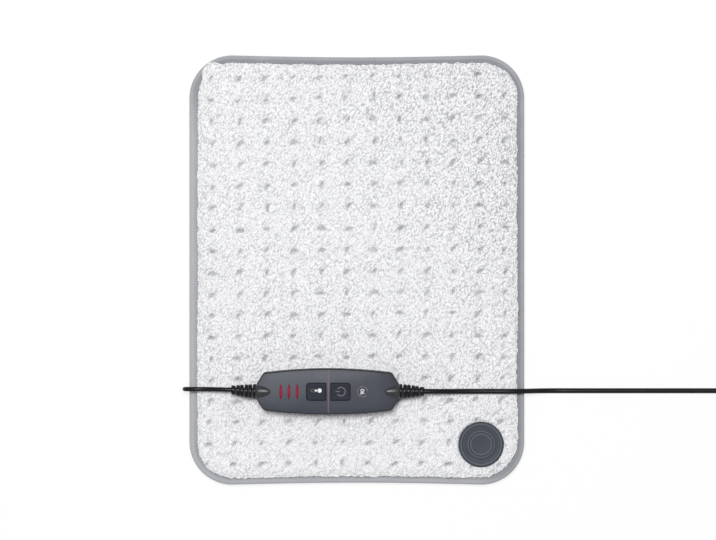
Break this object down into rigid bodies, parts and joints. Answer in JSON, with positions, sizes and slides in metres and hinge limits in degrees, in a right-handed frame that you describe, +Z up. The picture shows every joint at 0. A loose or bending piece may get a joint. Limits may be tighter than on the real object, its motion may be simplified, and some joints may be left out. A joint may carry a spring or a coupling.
{
  "type": "heating pad with hand controller",
  "caption": "Quilted terry heating pad with a bound edge and round lead entry, a hand controller with two keys and indicator bars, and a coiled mains lead with a flat plug.",
  "frame": {"origin": "centre of the pad on the surface that it lies on", "axes": "+Z up out of the terry side, +Y along the pad's length away from the controller, +X towards the mains lead"},
  "size_m": [0.6002, 0.4, 0.0348],
  "materials": {
    "terry_white": "white cotton terry, quilted with small sewn tufts",
    "binding_grey": "light grey woven binding tape, fine ribs across it",
    "back_cloth": "white cotton cloth",
    "wadding": "polyester wadding",
    "carrier_cloth": "non-woven sheet that the wire is fixed to",
    "wire_jacket": "silicone jacket of the heating wire",
    "housing_dark": "dark grey moulded plastic, fine texture, satin",
    "key_dark": "near-black moulded key caps, satin, white symbols",
    "indicator_red": "red clear plastic, as the indicator bars look when lit",
    "lead_black": "black flexible sheath and moulded reliefs, satin",
    "board_green": "green solder resist on glass laminate",
    "chip_black": "black moulded component bodies",
    "film_block": "red-brown coated film capacitor",
    "terminal_white": "off-white terminal blocks",
    "fuse_glass": "clear glass tube",
    "steel": "plated screws, cutout cases and plug pins",
    "tie_black": "black hook-and-loop strap"
  },
  "bodies": {
    "pad": {"front_cover": "terry_white", "edge_binding": "binding_grey", "back_cover": "back_cloth", "rear_padding": "wadding", "wire_carrier": "carrier_cloth", "heating_wire": "wire_jacket", "temperature_cutout_1": "steel", "temperature_cutout_2": "steel", "entry_cap": "housing_dark", "entry_base": "housing_dark", "entry_screw_1": "steel", "entry_screw_2": "steel", "entry_terminal_block": "terminal_white", "entry_strain_relief": "lead_black", "pad_lead_entry_end": "lead_black", "controller_top_housing": "housing_dark", "controller_bottom_housing": "housing_dark", "circuit_board": "board_green", "temperature_switch": "chip_black", "power_switch": "chip_black", "indicator_window_1": "indicator_red", "indicator_window_2": "indicator_red", "indicator_window_3": "indicator_red", "indicator_lamp_1": "indicator_red", "indicator_lamp_2": "indicator_red", "indicator_lamp_3": "indicator_red", "control_chip": "chip_black", "triac": "chip_black", "film_capacitor": "film_block", "mains_fuse": "fuse_glass", "pad_side_terminal": "terminal_white", "mains_side_terminal": "terminal_white", "pad_side_relief": "lead_black", "mains_side_relief": "lead_black", "pad_lead_inner_end": "lead_black", "mains_lead_inner_end": "lead_black", "housing_screw_1": "steel", "housing_screw_2": "steel", "housing_screw_3": "steel", "housing_screw_4": "steel", "pad_lead_loop": "lead_black", "pad_lead_hidden": "lead_black", "mains_lead": "lead_black", "mains_lead_coil": "lead_black", "coil_tie": "tie_black", "mains_lead_tail": "lead_black", "plug_strain_relief": "lead_black", "plug_body": "lead_black", "plug_pin_1": "steel", "plug_pin_2": "steel"},
    "temperature_key_cap": {"temperature_key": "key_dark"},
    "power_key_cap": {"power_key": "key_dark"}
  },
  "joints": [
    {"name": "temperature_key_press", "type": "slide", "parent": "pad", "child": "temperature_key_cap", "axis": [0, 0, -1], "range_m": [0, 0.0007], "stiffness_N_per_m": 400},
    {"name": "power_key_press", "type": "slide", "parent": "pad", "child": "power_key_cap", "axis": [0, 0, -1], "range_m": [0, 0.0007], "stiffness_N_per_m": 400}
  ]
}
